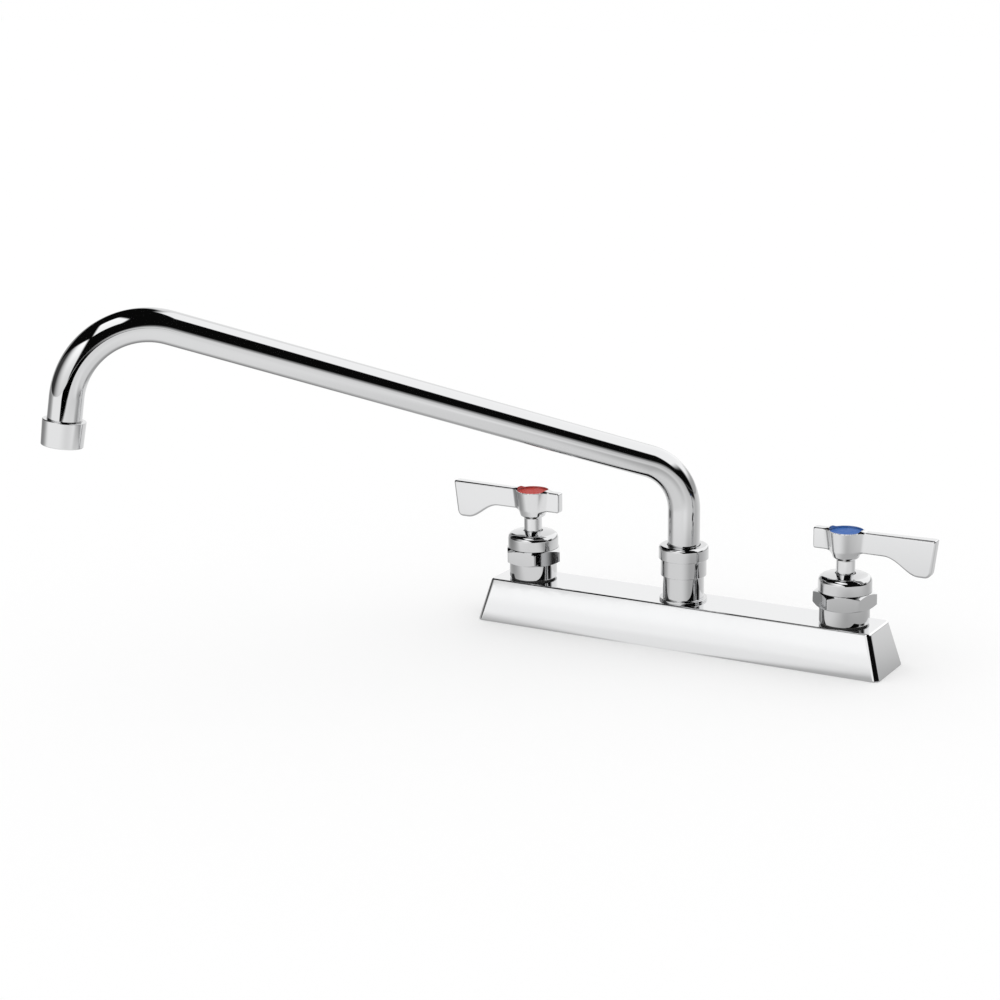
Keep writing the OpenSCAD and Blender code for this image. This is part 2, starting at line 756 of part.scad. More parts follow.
module spout_ferrule() {
  color([0.78, 0.65, 0.36]) difference() {
    union() {
      translate([0, 0, post_top - ferrule_length]) cylinder(r = ferrule_r, h = ferrule_length + 0.3);
      translate([0, 0, flange_z0]) cylinder(r = flange_r, h = flange_thick);
    }
    for (z = spout_ring_z) {
      ring(2 * ferrule_r, spout_groove_r, z - spout_ring_r - 0.1, z + spout_ring_r + 0.1);
    }
    translate([0, 0, post_top - ferrule_length - cut]) cylinder(r = ferrule_bore_r, h = 2 * ferrule_length);
    translate([0, 0, tube_foot]) cylinder(r = tube_r + seat_gap, h = 2 * flange_thick);
  }
}

module spout_orings() {
  color([0.1, 0.1, 0.1]) for (z = spout_ring_z) {
    o_ring(ferrule_r + turn_gap - spout_ring_r - 0.05, spout_ring_r, z);
  }
}

module outlet_collar() {
  color([0.84, 0.85, 0.86]) at_outlet() difference() {
    translate([0, 0, drop_length]) rotate_extrude() union() {
      polygon([
        [0, 0], [collar_r - 0.4, 0], [collar_r, 0.4],
        [collar_r, collar_length - collar_round], [0, collar_length - collar_round]
      ]);
      square([collar_r - collar_round, collar_length]);
      translate([collar_r - collar_round, collar_length - collar_round]) circle(r = collar_round, $fn = 32);
    }
    cylinder(r = tube_r + seat_gap, h = drop_length + tube_seat + 0.5);
    translate([0, 0, drop_length + tube_seat]) cylinder(r = collar_bore_r, h = 2 * collar_length);
  }
}

module aerator_washer() {
  color([0.12, 0.12, 0.12]) at_outlet()
    ring(collar_bore_r - thread_gap, collar_bore_r - 3, washer_w0, screen_w0);
}

module aerator_screen() {
  reach = ceil(collar_bore_r / screen_pitch);
  open = screen_pitch - screen_bar;
  mesh_r = collar_bore_r - 2.2;
  color([0.7, 0.7, 0.71]) at_outlet() translate([0, 0, screen_w0]) linear_extrude(screen_thick)
    difference() {
      circle(r = collar_bore_r - thread_gap);
      for (i = [-reach : reach], j = [-reach : reach]) {
        if (norm([abs(i) * screen_pitch + open / 2, abs(j) * screen_pitch + open / 2]) < mesh_r) {
          translate([i * screen_pitch, j * screen_pitch]) square(open, center = true);
        }
      }
    }
}

module aerator_insert() {
  insert_r = collar_bore_r - thread_gap;
  color([0.8, 0.8, 0.78]) at_outlet() union() {
    ring(insert_r, insert_r - insert_wall, insert_w0, insert_w1);
    ring(4.2, 3.2, insert_w0 + 1, insert_w1 - 0.6);
    for (k = [0 : vane_count - 1]) {
      rotate([0, 0, 360 * k / vane_count])
        translate([3.7, -0.4, insert_w0 + 1.2]) cube([insert_r - insert_wall - 3.2, 0.8, insert_w1 - insert_w0 - 2]);
    }
  }
}

module hot_side() {
  translate([-valve_x, 0, 0]) children();
}

module cold_side() {
  translate([valve_x, 0, 0]) children();
}

// A lever's blade points outward along the base at each side
module hot_turned() {
  hot_side() rotate([0, 0, 180 + lever_rest]) children();
}

module cold_turned() {
  cold_side() rotate([0, 0, -lever_rest]) children();
}

module bonnet_hot() { color([0.84, 0.85, 0.86]) hot_side() rotate([0, 0, hex_turn_hot]) bonnet(); }
module bonnet_cold() { color([0.84, 0.85, 0.86]) cold_side() rotate([0, 0, hex_turn_cold]) bonnet(); }
module bonnet_gasket_hot() { color([0.15, 0.15, 0.15]) hot_side() bonnet_gasket(); }
module bonnet_gasket_cold() { color([0.15, 0.15, 0.15]) cold_side() bonnet_gasket(); }
module cap_hot() { color([0.86, 0.87, 0.88]) hot_side() cap(); }
module cap_cold() { color([0.86, 0.87, 0.88]) cold_side() cap(); }
module cartridge_hot() { color([0.78, 0.65, 0.36]) hot_side() cartridge(); }
module cartridge_cold() { color([0.78, 0.65, 0.36]) cold_side() cartridge(); }
module fixed_disc_hot() { color([0.92, 0.9, 0.86]) hot_side() fixed_disc(); }
module fixed_disc_cold() { color([0.92, 0.9, 0.86]) cold_side() fixed_disc(); }
module seat_seal_hot() { color([0.1, 0.1, 0.1]) hot_side() seat_seal(); }
module seat_seal_cold() { color([0.1, 0.1, 0.1]) cold_side() seat_seal(); }
module stem_hot() { color([0.78, 0.65, 0.36]) hot_turned() stem(); }
module stem_cold() { color([0.78, 0.65, 0.36]) cold_turned() stem(); }
module stem_orings_hot() { color([0.1, 0.1, 0.1]) hot_turned() stem_orings(); }
module stem_orings_cold() { color([0.1, 0.1, 0.1]) cold_turned() stem_orings(); }
module moving_disc_hot() { color([0.95, 0.94, 0.9]) hot_turned() moving_disc(); }
module moving_disc_cold() { color([0.95, 0.94, 0.9]) cold_turned() moving_disc(); }
module handle_hot() { color([0.88, 0.89, 0.9]) hot_turned() handle(); }
module handle_cold() { color([0.88, 0.89, 0.9]) cold_turned() handle(); }
module handle_screw_hot() { color([0.6, 0.6, 0.62]) hot_turned() handle_screw(); }
module handle_screw_cold() { color([0.6, 0.6, 0.62]) cold_turned() handle_screw(); }
module index_button_hot() { color([0.78, 0.2, 0.17]) hot_turned() index_button(); }
module index_button_cold() { color([0.2, 0.4, 0.75]) cold_turned() index_button(); }

base_body();
spout_post();
swivel_nut();
slip_washer();
bonnet_hot();
bonnet_cold();
bonnet_gasket_hot();
bonnet_gasket_cold();
cap_hot();
cap_cold();
cartridge_hot();
cartridge_cold();
fixed_disc_hot();
fixed_disc_cold();
seat_seal_hot();
seat_seal_cold();
stem_hot();
stem_cold();
stem_orings_hot();
stem_orings_cold();
moving_disc_hot();
moving_disc_cold();
handle_hot();
handle_cold();
handle_screw_hot();
handle_screw_cold();
index_button_hot();
index_button_cold();
spout_tube();
spout_ferrule();
spout_orings();
outlet_collar();
aerator_washer();
aerator_screen();
aerator_insert();
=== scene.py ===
import math

import bmesh
import bpy
import numpy as np
from mathutils import Matrix, Vector


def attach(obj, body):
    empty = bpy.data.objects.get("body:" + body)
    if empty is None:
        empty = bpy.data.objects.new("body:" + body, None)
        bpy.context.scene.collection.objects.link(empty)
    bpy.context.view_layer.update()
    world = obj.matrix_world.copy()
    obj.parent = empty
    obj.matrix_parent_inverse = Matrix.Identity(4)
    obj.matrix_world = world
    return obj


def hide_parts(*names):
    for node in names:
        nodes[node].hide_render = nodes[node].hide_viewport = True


# Deck-mount faucet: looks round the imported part. Metres, same frame as the part.
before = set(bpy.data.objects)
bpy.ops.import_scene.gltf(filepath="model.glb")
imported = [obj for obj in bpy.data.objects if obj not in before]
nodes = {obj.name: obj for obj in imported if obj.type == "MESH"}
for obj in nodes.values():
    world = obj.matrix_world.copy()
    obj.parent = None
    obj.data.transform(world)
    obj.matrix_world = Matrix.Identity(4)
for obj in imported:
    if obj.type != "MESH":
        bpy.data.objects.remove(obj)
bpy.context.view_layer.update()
MM = 0.001

# Camera of the photograph: place in metres, angles in degrees, lens and sensor in millimetres
CAMERA_PLACE = (0.5640, -1.1973, 0.4281)
CAMERA_YAW = 29.91
CAMERA_PITCH = 14.46
CAMERA_ROLL = -0.71
CAMERA_LENS = 83.5
SENSOR_WIDTH = 36

# White floor: the share of light that it returns, the light that it adds, and its half width in metres
FLOOR_TONE = 0.80
FLOOR_LIFT = 0.17
FLOOR_HALF = 6
# Light from all round, and one overhead lamp: its level, width in degrees and direction
FILL = 0.95
LAMP_LEVEL = 0.32
LAMP_WIDTH = 70
LAMP_AZIMUTH = -45
LAMP_ELEVATION = 62

# What the plating mirrors: level of the soft boxes, of the dark between them and of the far floor
PANEL_LEVEL = 1.42
ROOM_LEVEL = 0.004
HORIZON_LEVEL = 0.98
# Share of the floor's mirrored light that the part's own shadow dims
MIRROR_SHADE = 0.4
# Azimuths of the soft boxes, the rear panel and the low glow beside the camera, and levels of the last two
LEFT_BOX = -50
RIGHT_BOX = 112
REAR_PANEL = -150
LOW_GLOW = 33
REAR_LEVEL = 0.3
LOW_GLOW_LEVEL = 0.34
# Smallest divisor in the places on walls and ceiling
NEAR_ZERO = 0.001

# Share of light that the plating reflects on the base, on the tube and turned pieces, and on the levers. It
# is one plating: the three shares differ by painted light and shade, brighter on the base and levers and
# darker on the tube and turned pieces
CAST_TONE_AND_SHADING = 0.74
PLATE_TONE_AND_SHADING = 0.60
LEVER_TONE_AND_SHADING = 0.69
# Tints of clear plating and of plating with a little haze
CLEAR_TINT = (1.0, 1.003, 1.008)
HAZY_TINT = (0.985, 0.99, 1.0)


def camera_axes():
    """Directions to the right, up and ahead in the photograph's frame."""
    yaw, pitch, roll = (math.radians(v) for v in (CAMERA_YAW, CAMERA_PITCH, CAMERA_ROLL))
    ahead = Vector((
        -math.sin(yaw) * math.cos(pitch), math.cos(yaw) * math.cos(pitch), -math.sin(pitch)
    ))
    level = ahead.cross(Vector((0, 0, 1))).normalized()
    upward = level.cross(ahead)
    right = level * math.cos(roll) + upward * math.sin(roll)
    up = upward * math.cos(roll) - level * math.sin(roll)
    return right, up, ahead


def make_camera():
    """Camera at the photograph's place and angle."""
    right, up, ahead = camera_axes()
    data = bpy.data.cameras.new("camera")
    data.lens = CAMERA_LENS
    data.sensor_width = SENSOR_WIDTH
    data.clip_start = 0.01
    data.clip_end = 50
    cam = bpy.data.objects.new("camera", data)
    turn = Matrix((right, up, -ahead)).transposed().to_4x4()
    cam.matrix_world = Matrix.Translation(CAMERA_PLACE) @ turn
    bpy.context.scene.collection.objects.link(cam)
    bpy.context.scene.camera = cam


class Nodes:
    """A node tree with short calls for the nodes used here."""

    def __init__(self, tree):
        self.tree = tree
        self.tree.nodes.clear()

    def add(self, kind, settings=None, **inputs):
        """New node. An input is given by its name, with _ for a space, or as i and its number."""
        node = self.tree.nodes.new(kind)
        for key, value in (settings or {}).items():
            setattr(node, key, value)
        for key, value in inputs.items():
            name = int(key[1:]) if key[0] == "i" and key[1:].isdigit() else key.replace("_", " ")
            self.put(node.inputs[name], value)
        return node

    def put(self, socket, value):
        if isinstance(value, bpy.types.NodeSocket):
            self.tree.links.new(value, socket)
        else:
            socket.default_value = value

    def math(self, operation, a, b=None, clamp=False):
        node = self.tree.nodes.new("ShaderNodeMath")
        node.operation = operation
        node.use_clamp = clamp
        self.put(node.inputs[0], a)
        if b is not None:
            self.put(node.inputs[1], b)
        return node.outputs[0]

    def vector(self, operation, a, b):
        node = self.tree.nodes.new("ShaderNodeVectorMath")
        node.operation = operation
        self.put(node.inputs[0], a)
        self.put(node.inputs[1], b)
        return node.outputs["Value" if operation == "DOT_PRODUCT" else "Vector"]

    def product(self, *factors):
        return self.chain("MULTIPLY", factors)

    def total(self, *terms):
        return self.chain("ADD", terms)

    def largest(self, *values):
        return self.chain("MAXIMUM", values)

    def minus(self, a, b):
        return self.math("SUBTRACT", a, b)

    def chain(self, operation, values):
        result = values[0]
        for value in values[1:]:
            result = self.math(operation, result, value)
        return result

    def mix(self, share, a, b):
        return self.add("ShaderNodeMix", i0=share, i2=a, i3=b).outputs[0]

    def fade(self, value, low, high):
        """One below the low value, falling softly to zero at the high one."""
        return self.ramp(value, low, high, 1.0, 0.0)

    def ramp(self, value, low, high, to_low=0.0, to_high=1.0):
        """Soft step from one level to another between a low and a high value."""
        node = self.tree.nodes.new("ShaderNodeMapRange")
        node.interpolation_type = "SMOOTHSTEP"
        for socket, v in zip(node.inputs, (value, low, high, to_low, to_high)):
            self.put(socket, v)
        return node.outputs[0]


def heading(azimuth, elevation=0.0):
    """Direction in the room. Azimuth 0 points from the part to the camera, positive to its right."""
    a = math.radians(azimuth + CAMERA_YAW)
    e = math.radians(elevation)
    return (math.sin(a) * math.cos(e), -math.cos(a) * math.cos(e), math.sin(e))


def soft_window(n, value, low, high, soft):
    """One between a low and a high value and zero outside them, with soft edges."""
    return n.product(n.ramp(value, low - soft, low + soft), n.fade(value, high - soft, high + soft))


def wall_view(n, ray, azimuth):
    """Whether a ray meets an upright wall, and where: sideways and up, in shares of its distance."""
    facing = n.vector("DOT_PRODUCT", ray, heading(azimuth))
    depth = n.math("MAXIMUM", facing, NEAR_ZERO)
    side = n.math("DIVIDE", n.vector("DOT_PRODUCT", ray, heading(azimuth + 90)), depth)
    up = n.math("DIVIDE", n.vector("DOT_PRODUCT", ray, (0, 0, 1)), depth)
    return n.math("GREATER_THAN", facing, NEAR_ZERO), side, up


def ceiling_view(n, ray):
    """Whether a ray meets the ceiling, and where: toward the camera and right, in shares of its height."""
    height = n.vector("DOT_PRODUCT", ray, (0, 0, 1))
    over = n.math("MAXIMUM", height, NEAR_ZERO)
    toward = n.math("DIVIDE", n.vector("DOT_PRODUCT", ray, heading(0)), over)
    right = n.math("DIVIDE", n.vector("DOT_PRODUCT", ray, heading(90)), over)
    return n.math("GREATER_THAN", height, NEAR_ZERO), toward, right


def left_soft_box(n, ray):
    """Large soft box to the camera's left. Its near side slants, and it fades to its far side and foot."""
    front, side, up = wall_view(n, ray, LEFT_BOX)
    slanted = n.total(side, n.product(up, 0.855))
    near_side = n.product(n.fade(slanted, 0.95, 1.12), n.fade(side, 0.80, 0.94))
    top = n.fade(up, 0.83, 0.93)
    foot = n.ramp(up, -0.50, -0.30)
    across = n.ramp(side, -1.0, 0.2, 0.04, 1.0)
    upward = n.ramp(up, -0.1, 0.85, 0.74, 1.2)
    return n.product(front, near_side, top, foot, across, upward)


def top_soft_box(n, ray):
    """Soft box over the front of the part. It ends at a slanting line on the right."""
    above, toward, right = ceiling_view(n, ray)
    depth = soft_window(n, toward, 0.0, 0.97, 0.05)
    width = n.product(n.ramp(right, -0.58, -0.50), n.fade(right, 0.0, 0.08))
    slant = n.fade(n.minus(right, n.product(toward, 0.5)), -0.28, -0.20)
    glow = n.ramp(toward, -0.1, 0.9, 1.15, 1.05)
    return n.product(above, depth, width, slant, glow)


def right_soft_box(n, ray):
    """Broad soft wall to the right, dim along its foot and back, and dark at its lower near corner."""
    front, side, up = wall_view(n, ray, RIGHT_BOX)
    _, _, right = ceiling_view(n, ray)
    slant = n.product(n.math("MAXIMUM", n.minus(up, 1.5), 0.0), 0.9)
    near_side = n.ramp(n.minus(side, slant), -1.24, -1.0)
    far_back = n.product(n.ramp(side, 1.0, 1.4), n.fade(up, 1.9, 2.8))
    overhead = n.largest(n.ramp(right, 0.10, 0.34), far_back)
    corner = n.product(n.fade(side, -0.46, -0.10), n.fade(up, 0.34, 0.60))
    foot = n.product(n.ramp(side, 0.45, 1.1, 0.62, 0.0), n.fade(up, 0.10, 0.30))
    back = n.ramp(side, 1.0, 1.35, 0.0, 0.22)
    bright = n.minus(1.0, n.largest(corner, foot, back))
    return n.product(front, near_side, overhead, bright)


def rear_panel(n, ray):
    """Low dim panel behind the part to the left."""
    front, side, up = wall_view(n, ray, REAR_PANEL)
    width = soft_window(n, side, -0.42, 0.34, 0.08)
    height = soft_window(n, up, -0.2, 0.36, 0.06)
    return n.product(front, width, height, REAR_LEVEL)


def mirrored_room(n, ray):
    """What the plating mirrors of the room: the panels, a low glow beside the camera, and the far floor."""
    height = n.vector("DOT_PRODUCT", ray, (0, 0, 1))
    makers = (left_soft_box, top_soft_box, right_soft_box, rear_panel)
    panels = n.largest(*(maker(n, ray) for maker in makers))
    facing = n.vector("DOT_PRODUCT", ray, heading(LOW_GLOW))
    glow = n.product(n.ramp(facing, 0.955, 0.99, 0.0, LOW_GLOW_LEVEL), n.fade(height, 0.0, 0.16))
    room = n.largest(n.product(panels, PANEL_LEVEL), glow, ROOM_LEVEL)
    return n.mix(n.fade(height, -0.04, 0.0), room, HORIZON_LEVEL)


def make_world():
    """White to the camera, an even fill to surfaces, and a studio of soft boxes to what mirrors it."""
    world = bpy.data.worlds.new("studio")
    bpy.context.scene.world = world
    world.use_nodes = True
    n = Nodes(world.node_tree)
    path = n.add("ShaderNodeLightPath")
    ray = n.add("ShaderNodeTexCoord").outputs["Generated"]
    plain = n.math("ADD", path.outputs["Is Camera Ray"], path.outputs["Is Transmission Ray"], clamp=True)
    unmirrored = n.mix(plain, FILL, 1.0)
    level = n.mix(path.outputs["Is Glossy Ray"], unmirrored, mirrored_room(n, ray))
    back = n.add("ShaderNodeBackground", Color=(1, 1, 1, 1), Strength=level)
    n.add("ShaderNodeOutputWorld", Surface=back.outputs[0])


def material(name):
    """New material, and the calls for its nodes."""
    m = bpy.data.materials.new(name)
    m.use_nodes = True
    return m, Nodes(m.node_tree)


def camera_shade(n, ahead, sideways):
    """Dark wedge of floor under the camera, which widens away from the part."""
    beyond = n.largest(n.minus(ahead, 0.72), 0.02)
    right = n.fade(n.math("DIVIDE", n.total(sideways, 0.02), beyond), 0.10, 0.30)
    left = n.ramp(n.total(sideways, n.product(ahead, 0.36)), -0.53, -0.41)
    near = n.total(ahead, n.product(n.math("MINIMUM", sideways, 0.0), 0.55))
    return n.product(right, left, n.ramp(near, 0.85, 0.94))


def floor_glow(n):
    """How bright the floor lies in the light at each place, for what the plating mirrors of it."""
    place = n.add("ShaderNodeTexCoord").outputs["Object"]
    flat = n.vector("MULTIPLY", place, (1, 1, 0))
    distance = n.add("ShaderNodeVectorMath", {"operation": "LENGTH"}, i0=flat).outputs["Value"]
    toward = n.add("ShaderNodeVectorMath", {"operation": "NORMALIZE"}, i0=flat).outputs["Vector"]
    ahead = n.vector("DOT_PRODUCT", flat, heading(0))
    sideways = n.vector("DOT_PRODUCT", flat, heading(90))

    def side(azimuth, low, high, to_low=0.0, to_high=1.0):
        return n.ramp(n.vector("DOT_PRODUCT", toward, heading(azimuth)), low, high, to_low, to_high)

    # All round the part: brightest to the left of the camera, with a dim patch on the far left
    away = n.ramp(distance, 0.18, 0.32)
    level = n.total(
        side(-45, 0.25, 0.95, 0.56, 1.03), side(175, -0.45, 1.05, 0.0, 0.44),
        n.product(side(35, 0.6, 1.0, 0.0, 0.35), away),
    )
    level = n.minus(level, n.product(side(-115, 0.80, 1.0), n.ramp(distance, 0.18, 0.32, 0.3, 0.5)))
    left_lift = n.product(side(-40, 0.0, 0.6, 0.0, 0.12), away)
    level = n.product(level, n.total(left_lift, 1.0))

    # In front of the part it falls off from left to right, and it is dimmer far out on the right
    across = n.product(n.ramp(sideways, -0.55, 0.15, 0.10, -0.17), n.ramp(ahead, 0.15, 0.6))
    out_right = n.product(n.ramp(sideways, -0.1, 0.6), n.ramp(distance, 1.2, 3.0, 0.0, 0.42))
    level = n.product(level, n.total(across, 1.0), n.minus(1.0, out_right))

    # Dark places: under the camera, and out to the right
    right_corner = n.product(side(72, 0.925, 0.97), n.ramp(distance, 0.55, 1.1, 0.0, 0.97))
    dark = n.largest(camera_shade(n, ahead, sideways), right_corner)
    return n.product(level, n.minus(1.0, dark))


def make_floor():
    """White floor that keeps the part's shadow. The plating mirrors it as floor_glow says, less shaded."""
    m, n = material("floor")
    path = n.add("ShaderNodeLightPath")
    mirrored = path.outputs["Is Glossy Ray"]
    glow = floor_glow(n)
    tone = n.mix(mirrored, FLOOR_TONE, n.product(glow, FLOOR_TONE * MIRROR_SHADE))
    grey = n.add("ShaderNodeCombineColor", Red=tone, Green=tone, Blue=tone)
    diffuse = n.add("ShaderNodeBsdfDiffuse", Color=grey.outputs[0])
    seen = n.largest(path.outputs["Is Camera Ray"], path.outputs["Is Transmission Ray"])
    unshaded = n.product(glow, FLOOR_LIFT + (1 - FLOOR_LIFT) * (1 - MIRROR_SHADE))
    lift = n.mix(mirrored, n.product(seen, FLOOR_LIFT), unshaded)
    light = n.add("ShaderNodeEmission", Color=(1, 1, 1, 1), Strength=lift)
    both = n.add("ShaderNodeAddShader", i0=diffuse.outputs[0], i1=light.outputs[0])
    n.add("ShaderNodeOutputMaterial", Surface=both.outputs[0])
    bm = bmesh.new()
    bmesh.ops.create_grid(bm, x_segments=4, y_segments=4, size=FLOOR_HALF)
    mesh = bpy.data.meshes.new("floor")
    bm.to_mesh(mesh)
    bm.free()
    mesh.materials.append(m)
    o = bpy.data.objects.new("floor", mesh)
    o.location = (0, 0, -0.2 * MM)
    bpy.context.scene.collection.objects.link(o)


def make_lamp():
    """One broad overhead light, so soft that its shadows only darken what is near the part."""
    data = bpy.data.lights.new("softbox", "SUN")
    data.angle = math.radians(LAMP_WIDTH)
    data.energy = LAMP_LEVEL
    lamp = bpy.data.objects.new("softbox", data)
    lamp.rotation_mode = "QUATERNION"
    lamp.rotation_quaternion = Vector(heading(LAMP_AZIMUTH, LAMP_ELEVATION)).to_track_quat("Z", "Y")
    lamp.visible_glossy = False
    lamp.visible_camera = False
    bpy.context.scene.collection.objects.link(lamp)


def plated(name, tone, rough, peel_size, peel_depth, haze=0.02):
    """Bright plating. Slight haze comes and goes on it, and the polished metal under it is faintly wavy."""
    m, n = material(name)
    place = n.add("ShaderNodeTexCoord").outputs["Object"]
    cloud = n.add("ShaderNodeTexNoise", Vector=place, Scale=45.0, Detail=4.0, Roughness=0.6)
    fine = n.add("ShaderNodeTexNoise", Vector=place, Scale=900.0, Detail=2.0)
    roughness = n.ramp(cloud.outputs[0], 0.35, 0.75, rough, rough + haze)
    roughness = n.total(roughness, n.product(fine.outputs[0], 0.006))
    peel = n.add("ShaderNodeTexNoise", Vector=place, Scale=1.0 / peel_size, Detail=1.5)
    bump = n.add("ShaderNodeBump", Strength=0.25, Distance=peel_depth, Height=peel.outputs[0])
    # The tone holds painted light and shade as well as the plating's own reflectance
    clear, hazy = ((*(tone * share for share in tint), 1) for tint in (CLEAR_TINT, HAZY_TINT))
    colour = n.add("ShaderNodeMix", {"data_type": "RGBA"}, i0=cloud.outputs[0], i6=clear, i7=hazy)
    surface = n.add(
        "ShaderNodeBsdfPrincipled", Base_Color=colour.outputs[2], Metallic=1.0,
        Roughness=roughness, Normal=bump.outputs[0],
    )
    n.add("ShaderNodeOutputMaterial", Surface=surface.outputs[0])
    return m


def plain_stuff(name, colour, rough, metallic=0.0, grain=300.0, depth=0.01 * MM, vary=0.12, specular=0.5):
    """Moulded, cast or cut stuff with a fine grain in colour, gloss and surface."""
    m, n = material(name)
    place = n.add("ShaderNodeTexCoord").outputs["Object"]
    noise = n.add("ShaderNodeTexNoise", Vector=place, Scale=grain, Detail=4.0)
    darker = tuple(c * (1 - vary) for c in colour)
    tint = n.add(
        "ShaderNodeMix", {"data_type": "RGBA"}, i0=noise.outputs[0],
        i6=(*darker, 1), i7=(*colour, 1),
    )
    bump = n.add("ShaderNodeBump", Strength=0.4, Distance=depth, Height=noise.outputs[0])
    surface = n.add(
        "ShaderNodeBsdfPrincipled", Base_Color=tint.outputs[2], Metallic=metallic,
        Roughness=n.ramp(noise.outputs[0], 0.3, 0.7, rough * 0.85, rough * 1.15), Normal=bump.outputs[0],
        Specular_IOR_Level=specular,
    )
    n.add("ShaderNodeOutputMaterial", Surface=surface.outputs[0])
    return m


# One look for each material slot of the record
LOOKS = {
    # The tones of the plated looks carry painted light and shade: the base and levers are lifted, the tube
    # and turned pieces darkened
    "plated_casting": plated("plated_casting", CAST_TONE_AND_SHADING, 0.035, 6 * MM, 0.02 * MM),
    "plated_turning": plated("plated_turning", PLATE_TONE_AND_SHADING, 0.03, 8 * MM, 0.01 * MM),
    "plated_tube": plated("plated_tube", PLATE_TONE_AND_SHADING, 0.025, 12 * MM, 0.01 * MM),
    "plated_handle": plated("plated_handle", LEVER_TONE_AND_SHADING, 0.04, 6 * MM, 0.02 * MM),
    "brass": plain_stuff("brass", (0.78, 0.57, 0.25), 0.25, metallic=1.0),
    "ceramic_disc": plain_stuff("ceramic_disc", (0.82, 0.80, 0.75), 0.3),
    "seal_rubber": plain_stuff("seal_rubber", (0.02, 0.02, 0.02), 0.55),
    "gasket_fibre": plain_stuff("gasket_fibre", (0.06, 0.06, 0.06), 0.8),
    "slip_ring": plain_stuff("slip_ring", (0.75, 0.75, 0.7), 0.4),
    "steel_screw": plain_stuff("steel_screw", (0.6, 0.6, 0.6), 0.3, metallic=1.0),
    "steel_screen": plain_stuff("steel_screen", (0.6, 0.6, 0.6), 0.3, metallic=1.0),
    "insert_plastic": plain_stuff("insert_plastic", (0.7, 0.7, 0.68), 0.35),
    "red_button": plain_stuff("red_button", (0.53, 0.055, 0.045), 0.4, specular=0.04),
    "blue_button": plain_stuff("blue_button", (0.05, 0.15, 0.47), 0.4, specular=0.04),
}


def dress_nodes():
    """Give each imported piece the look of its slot."""
    for o in nodes.values():
        slot = o.data.materials[0].name
        o.data.materials[0] = LOOKS[slot]


def smooth_facets(o, angle=30):
    """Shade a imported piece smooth, but for edges sharper than an angle."""
    weld = o.modifiers.new("weld", "WELD")
    weld.merge_threshold = 0.002 * MM
    split = o.modifiers.new("split", "EDGE_SPLIT")
    split.split_angle = math.radians(angle)
    split.use_edge_sharp = False
    normal = o.modifiers.new("normals", "WEIGHTED_NORMAL")
    normal.weight = 50
    for p in o.data.polygons:
        p.use_smooth = True


# Sizes of the pieces made here, in millimetres, as in the part
VALVE_X = 101.6
VALVES = ((-1, "hot"), (1, "cold"))
DECK_Z = 26.2
THREAD_GAP = 0.08

# Post and the nut round it
POST_R = 12.2
POST_TOP_Z = DECK_Z + 26.6
POST_FOOT_R = 14.2
POST_FOOT_TOP_Z = DECK_Z + 1.5
POST_SHANK_R = 10
POST_SHANK_FOOT_Z = DECK_Z - 11.4
WATERWAY_R = 6.2
SOCKET_R = 8.97
SOCKET_FLOOR_Z = 32.0
NUT_SKIRT_R = 13.6
NUT_BAND_R = 14.8
NUT_FOOT_Z = DECK_Z + 15.2
NUT_STEP_Z = DECK_Z + 25.3
NUT_LIP_Z = 57.6
NUT_TOP_Z = 59.7
NUT_ROUND = 2.1
NUT_HOLE_R = 9.875

# Bonnets
SHANK_R = 12
SHANK_FOOT_Z = DECK_Z - 4.6
SHANK_BORE_R = 10.08
SKIRT_R = 14.5
SKIRT_FOOT_Z = DECK_Z + 0.9
HEX_FLATS = 31.75
HEX_BEVEL = 0.3
HEX_CORNER_ROUND = 0.5
HEX_FOOT_Z = DECK_Z + 10.2
HEX_TOP_Z = HEX_FOOT_Z + 9
HEX_TURNS = {"hot": 0, "cold": 18}
CAP_THREAD_R = 13.1
CAP_THREAD_TOP_Z = HEX_TOP_Z + 4.2

# Caps
CAP_R = 15.4
CAP_ROUND = 3.6
CAP_SHOULDER_Z = HEX_TOP_Z + 9.4
CAP_PEAK_Z = CAP_SHOULDER_Z + 1.3
CAP_CEILING_Z = CAP_PEAK_Z - 4.1
CAP_HOLE_R = 5.85
CROWN_RADIUS = 57.8
CROWN_EDGE_R = 12.58
CROWN_HOLE_R = 6.1

# Spout and the collar at its outlet
TUBE_R = 9.525
TUBE_BORE_R = 8.325
TUBE_FOOT_Z = 53.6
RISER_TOP_Z = 80.6
ELBOW_R = 33.0
ELBOW_TURN = 71.0
RUN_LENGTH = 289.3
OUTLET_BEND_R = 43.7
OUTLET_LEAN = 8.7
DROP_LENGTH = 12.6
TUBE_SEAT = 5.0
SWING = 224.3
COLLAR_R = 12.0
COLLAR_END_R = 11.52
COLLAR_BORE_R = 10.4
COLLAR_LENGTH = 14.5
COLLAR_GAP = 0.05


def soften(corners, steps=6):
    """Closed outline from corners, each given as its radius, height and rounding."""
    points = []
    count = len(corners)
    for i, (r, z, rounding) in enumerate(corners):
        here = Vector((r, z))
        if rounding <= 0:
            points.append(here)
            continue
        before = (Vector(corners[i - 1][:2]) - here).normalized()
        after = (Vector(corners[(i + 1) % count][:2]) - here).normalized()
        half = math.acos(max(-1.0, min(1.0, before.dot(after)))) / 2
        reach = rounding / math.tan(half)
        centre = here + (before + after).normalized() * (rounding / math.sin(half))
        start = here + before * reach - centre
        end = here + after * reach - centre
        sweep = start.angle_signed(end)
        for k in range(steps + 1):
            a = -sweep * k / steps
            turned = Vector((
                start.x * math.cos(a) - start.y * math.sin(a), start.x * math.sin(a) + start.y * math.cos(a)
            ))
            points.append(centre + turned)
    return points


# Points this near each other are one, and edges this short are none, in millimetres
SAME_PLACE = 0.0005
NO_LENGTH = 0.0002


